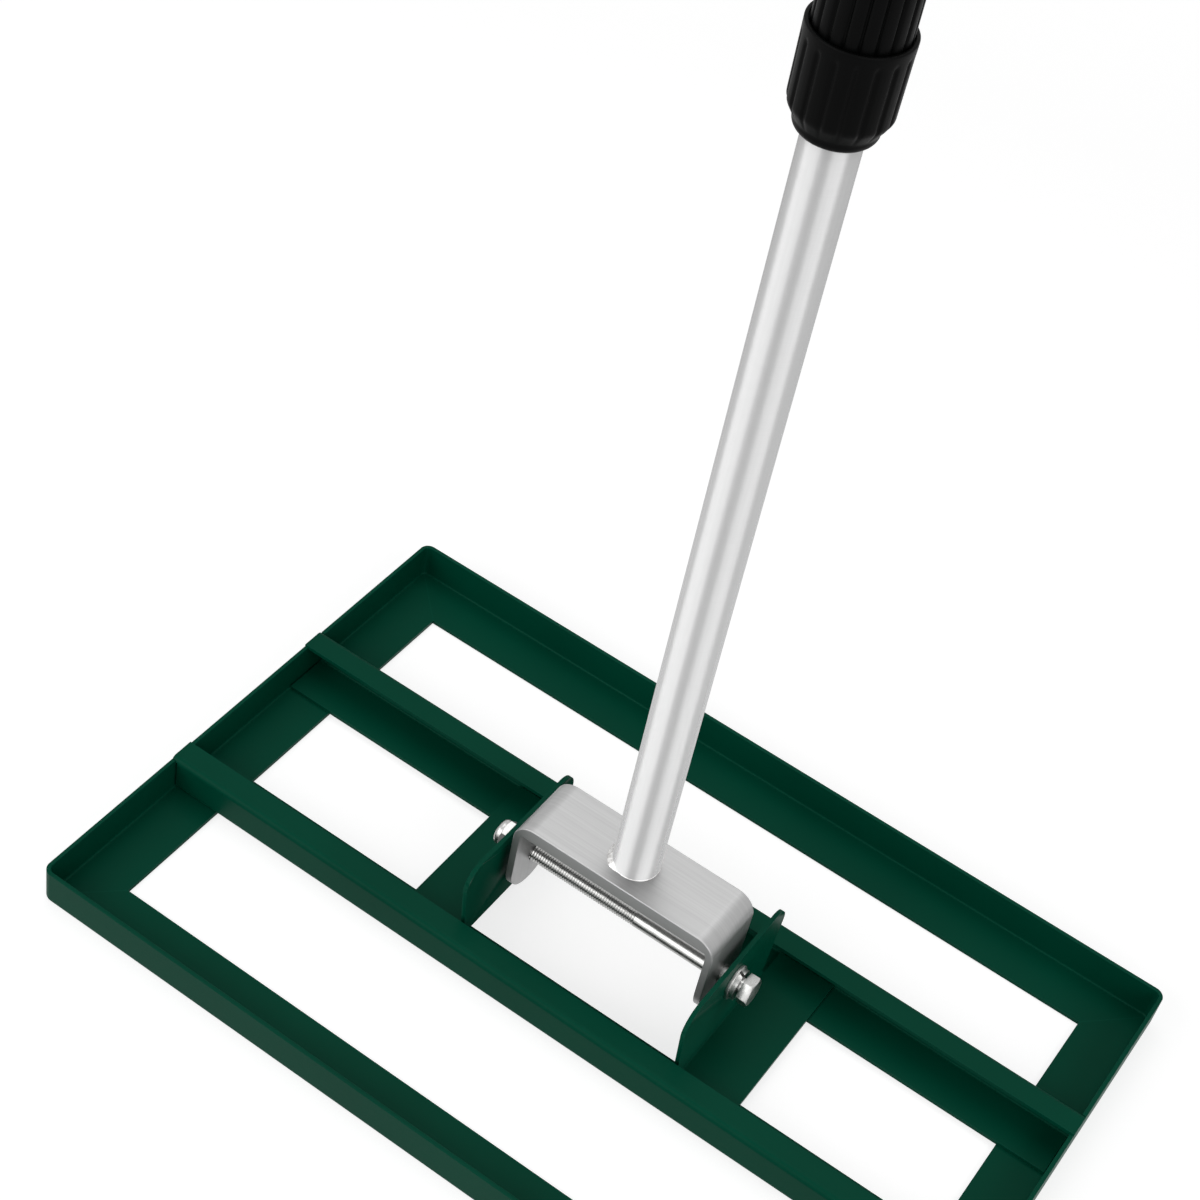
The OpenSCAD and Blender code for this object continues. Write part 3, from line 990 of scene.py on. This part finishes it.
class RAKE_OT_twist_lock(RakeOperator):
    """Make the fluted lock collar and the ribbed lock body."""

    bl_idname = "rake.twist_lock"
    bl_label = "Twist lock"
    # Where the first groove of both pieces stands, in degrees round the tube.
    first_groove = -83.6
    # Depth of a groove, and how far the land falls towards it, in millimetres.
    flute_depth, flute_fall = 0.62, 0.1
    rib_depth, rib_fall = 0.75, 0.28

    def groove(self, place, count, radius, width):
        """Share of the depth at a place, and its way from the groove to the middle of the land."""
        pitch = 360.0 / count
        angle = math.degrees(math.atan2(place.y, place.x))
        off = (angle - self.first_groove + pitch / 2) % pitch - pitch / 2
        arc = math.radians(off) * radius
        return math.exp(-((arc / width) ** 2)), abs(off) / (pitch / 2)

    def collar(self, flutes):
        """Twist nut: narrow nose, waist, and a fluted skirt that is open at the top."""
        z = NOSE_Z
        nose_r, shoulder_r, rim_r, mouth_r = 15.2, 18.6, 19.0, 17.4
        waist, shoulder, rim = z + 4.4, z + 10.3, z + 40.2
        bm = section(
            [
                (11.08, z), (nose_r, z), (nose_r, waist), (17.85, z + 8.8),
                (shoulder_r, shoulder), (rim_r, rim), (mouth_r, rim), (mouth_r, z + 38.7),
                (15.6, z + 38.7), (15.6, z + 17.7), (13.78, z + 17.7), (13.78, z + 5.2),
                (12.58, z + 4.0), (11.08, z + 4.0),
            ]
        )
        spin_section(bm, flutes * 20)
        round_rings(
            bm,
            (
                (nose_r, z, 3.45, 7),
                (rim_r, rim, 0.7, 4),
                (mouth_r, rim, 0.3, 2),
                (nose_r, waist, 0.8, 3),
                (shoulder_r, shoulder, 0.9, 3),
            ),
        )
        cut_lengthwise(bm, z + 12, z + 39, cuts=26, least_radius=18.0)
        for v in bm.verts:
            radius = v.co.xy.length
            if radius < 16.0:
                continue
            # the flutes run in below the shoulder and run out before the rim
            height = v.co.z - z
            ends = smooth_step(6.0, 10.5, height) * (1 - smooth_step(34.6, 36.6, height))
            dip, land = self.groove(v.co, flutes, radius=18.8, width=0.85)
            cut = self.flute_depth * dip + self.flute_fall * (1 - land)
            set_radius(v, radius - cut * ends)
        finish_piece(
            "fluted_collar",
            bm,
            black_moulded_plastic(),
            "collar",
            ["lock_collar"],
            smooth=50.0,
            weighted=False,
        )

    def sleeve(self, grooves):
        """Lock body: spigot inside the collar, and a ribbed sleeve above it."""
        outer, spigot_r, foot = 17.1, 15.3, NOSE_Z + 39.0
        top = foot + 64.0
        bm = section(
            [
                (11.5, NOSE_Z + 18.0), (spigot_r, NOSE_Z + 18.0), (spigot_r, foot),
                (outer, foot), (outer, top), (12.5, top), (12.5, foot - 1.5),
                (11.5, foot - 1.5),
            ]
        )
        spin_section(bm, grooves * 18)
        round_rings(bm, [(outer, top, 1.5, 4)])
        cut_lengthwise(bm, foot, top - 2.0, cuts=40, least_radius=16.5)
        for v in bm.verts:
            radius = v.co.xy.length
            if radius < spigot_r + 0.1:
                continue
            # the grooves run out under the plain band at the top
            ends = 1 - smooth_step(top - 8.0, top - 6.0, v.co.z)
            dip, land = self.groove(v.co, grooves, radius=outer, width=0.62)
            cut = self.rib_depth * dip + self.rib_fall * (1 - land) ** 2
            set_radius(v, radius - cut * ends)
        finish_piece(
            "ribbed_sleeve",
            bm,
            black_moulded_plastic(),
            "upper_handle",
            ["lock_body"],
            smooth=50.0,
            weighted=False,
        )

    def execute(self, context):
        settings = context.scene.rake_plastic
        self.collar(settings.flutes)
        self.sleeve(settings.grooves)
        dress_node("clamp_ring", natural_nylon())
        return {"FINISHED"}


class RAKE_OT_grip(RakeOperator):
    """Make the moulded grip and the end cap."""

    bl_idname = "rake.grip"
    bl_label = "Grip and end cap"

    def execute(self, context):
        bm = cad_copy("grip")
        round_edges(bm, sharp_edges(bm, 25.0), 0.35)
        finish_piece(
            "moulded_grip",
            bm,
            black_grip_rubber(),
            "upper_handle",
            ["grip"],
            smooth=40.0,
        )

        bm = cad_copy("end_cap")
        round_edges(bm, sharp_edges(bm, 40.0), 0.4)
        finish_piece(
            "hanging_cap",
            bm,
            black_moulded_plastic(),
            "upper_handle",
            ["end_cap"],
            smooth=40.0,
        )
        return {"FINISHED"}


class RAKE_OT_stage(RakeOperator):
    """Set up the floor, the lamps, the world and the camera."""

    bl_idname = "rake.stage"
    bl_label = "Stage"
    # Half side of the floor and its depth under the object, in metres.
    floor_reach = 6.0
    floor_drop = 0.0004
    # Glow of the floor as a share of white, by the distance from the object in metres.
    glow = {"From Min": 0.8, "From Max": 3.0, "To Min": 0.74, "To Max": 1.0}
    # Level of the world for the rays that light the object.
    fill = 0.12
    # Name, place, aim, width, height and radiance of each lamp.
    lamps = (
        ("top_softbox", (-0.2, 0.62, 2.2), (0, 0, 0), 1.7, 1.6, 1.6),
        ("left_softbox", (-0.95, -1.46, 1.1), (0, 0, 0.1), 2.2, 1.3, 2.3),
        ("right_softbox", (1.52, -0.78, 1.1), (0, 0, 0.1), 1.7, 1.3, 2.0),
    )

    def add_floor(self, context):
        """Pale floor that shows white and keeps the shadow of the object."""
        bm = bmesh.new()
        bmesh.ops.create_grid(bm, x_segments=1, y_segments=1, size=self.floor_reach)
        bmesh.ops.translate(bm, vec=(0, 0, -self.floor_drop), verts=bm.verts)
        mesh = bpy.data.meshes.new("floor")
        bm.to_mesh(mesh)
        bm.free()

        mat, tree, shader = new_material("pale_floor")
        set_inputs(
            shader,
            {
                "Base Color": (0.45, 0.45, 0.45, 1.0),
                "Roughness": 0.9,
                "Specular IOR Level": 0.1,
                "Emission Color": (1.0, 1.0, 1.0, 1.0),
            },
        )
        coords = tree.nodes.new("ShaderNodeTexCoord")
        far = tree.nodes.new("ShaderNodeVectorMath")
        far.operation = "LENGTH"
        tree.links.new(coords.outputs["Object"], far.inputs[0])
        level = tree.nodes.new("ShaderNodeMapRange")
        set_inputs(level, self.glow)
        tree.links.new(far.outputs["Value"], level.inputs["Value"])
        glow = math_node(tree, "MULTIPLY", background_rays(tree), level.outputs["Result"])
        tree.links.new(glow, shader.inputs["Emission Strength"])

        mesh.materials.append(mat)
        floor = bpy.data.objects.new("floor", mesh)
        context.scene.collection.objects.link(floor)

    def add_lamp(self, context, name, place, aim, width, height, radiance):
        """Soft rectangular lamp of a given radiance that points at a place."""
        data = bpy.data.lights.new(name, "AREA")
        data.shape = "RECTANGLE"
        data.size = width
        data.size_y = height
        data.energy = radiance * width * height * math.pi * context.scene.rake_stage.light_level
        lamp = bpy.data.objects.new(name, data)
        lamp.location = place
        toward = Vector(aim) - Vector(place)
        lamp.rotation_euler = toward.to_track_quat("-Z", "Y").to_euler()
        lamp.visible_camera = False
        context.scene.collection.objects.link(lamp)

    def add_world(self, context):
        """White for the rays that see the background, and dim for those that light the object."""
        world = bpy.data.worlds.new("studio")
        world.use_nodes = True
        tree = world.node_tree
        back = tree.nodes["Background"]
        set_inputs(back, {"Color": (1.0, 1.0, 1.0, 1.0)})
        level = math_node(tree, "MAXIMUM", background_rays(tree), self.fill)
        tree.links.new(level, back.inputs["Strength"])
        context.scene.world = world

    def add_camera(self, context):
        """Camera turned round the upright, tilted down and rolled."""
        settings = context.scene.rake_stage
        data = bpy.data.cameras.new("camera")
        data.lens = settings.camera_lens
        data.sensor_width = 36.0
        data.clip_start = 0.01
        camera = bpy.data.objects.new("camera", data)
        turn = Matrix.Rotation(settings.camera_turn, 4, "Z")
        tilt = Matrix.Rotation(math.pi / 2 - settings.camera_tilt, 4, "X")
        roll = Matrix.Rotation(settings.camera_roll, 4, "Z")
        camera.matrix_world = Matrix.Translation(settings.camera_place) @ turn @ tilt @ roll
        context.scene.collection.objects.link(camera)
        context.scene.camera = camera

    def execute(self, context):
        self.add_floor(context)
        for lamp in self.lamps:
            self.add_lamp(context, *lamp)
        self.add_world(context)
        self.add_camera(context)
        context.scene.view_settings.view_transform = "Standard"
        return {"FINISHED"}


PIECE_OPERATORS = (
    RAKE_OT_coated_frame,
    RAKE_OT_clevis_bar,
    RAKE_OT_weld_bead,
    RAKE_OT_tubes,
    RAKE_OT_pivot_bolt,
    RAKE_OT_twist_lock,
    RAKE_OT_grip,
    RAKE_OT_stage,
)


class RAKE_PT_panel(bpy.types.Panel):
    """Sidebar panel with the settings and the operators."""

    bl_idname = "RAKE_PT_panel"
    bl_label = "Lawn Leveling Rake"
    bl_space_type = "VIEW_3D"
    bl_region_type = "UI"
    bl_category = "Rake"

    def draw(self, context):
        layout = self.layout
        for group in ("rake_coat", "rake_steel", "rake_plastic", "rake_stage"):
            settings = getattr(context.scene, group)
            box = layout.box()
            for prop in settings.bl_rna.properties:
                if prop.identifier not in ("rna_type", "name"):
                    box.prop(settings, prop.identifier)
        for operator in PIECE_OPERATORS:
            layout.operator(operator.bl_idname)


CLASSES = (
    RakeCoatSettings,
    RakeSteelSettings,
    RakePlasticSettings,
    RakeStageSettings,
    *PIECE_OPERATORS,
    RAKE_PT_panel,
)


def register():
    for cls in CLASSES:
        bpy.utils.register_class(cls)
    bpy.types.Scene.rake_coat = PointerProperty(type=RakeCoatSettings)
    bpy.types.Scene.rake_steel = PointerProperty(type=RakeSteelSettings)
    bpy.types.Scene.rake_plastic = PointerProperty(type=RakePlasticSettings)
    bpy.types.Scene.rake_stage = PointerProperty(type=RakeStageSettings)


def unregister():
    for name in ("rake_stage", "rake_plastic", "rake_steel", "rake_coat"):
        delattr(bpy.types.Scene, name)
    for cls in reversed(CLASSES):
        bpy.utils.unregister_class(cls)


def plain(box):
    return [[float(v) for v in corner] for corner in box]


def main():
    register()
    bpy.ops.rake.coated_frame()
    bpy.ops.rake.clevis_bar()
    bpy.ops.rake.weld_bead()
    bpy.ops.rake.tubes()
    bpy.ops.rake.pivot_bolt()
    bpy.ops.rake.twist_lock()
    bpy.ops.rake.grip()
    bpy.ops.rake.stage()


if __name__ == "__main__":
    main()
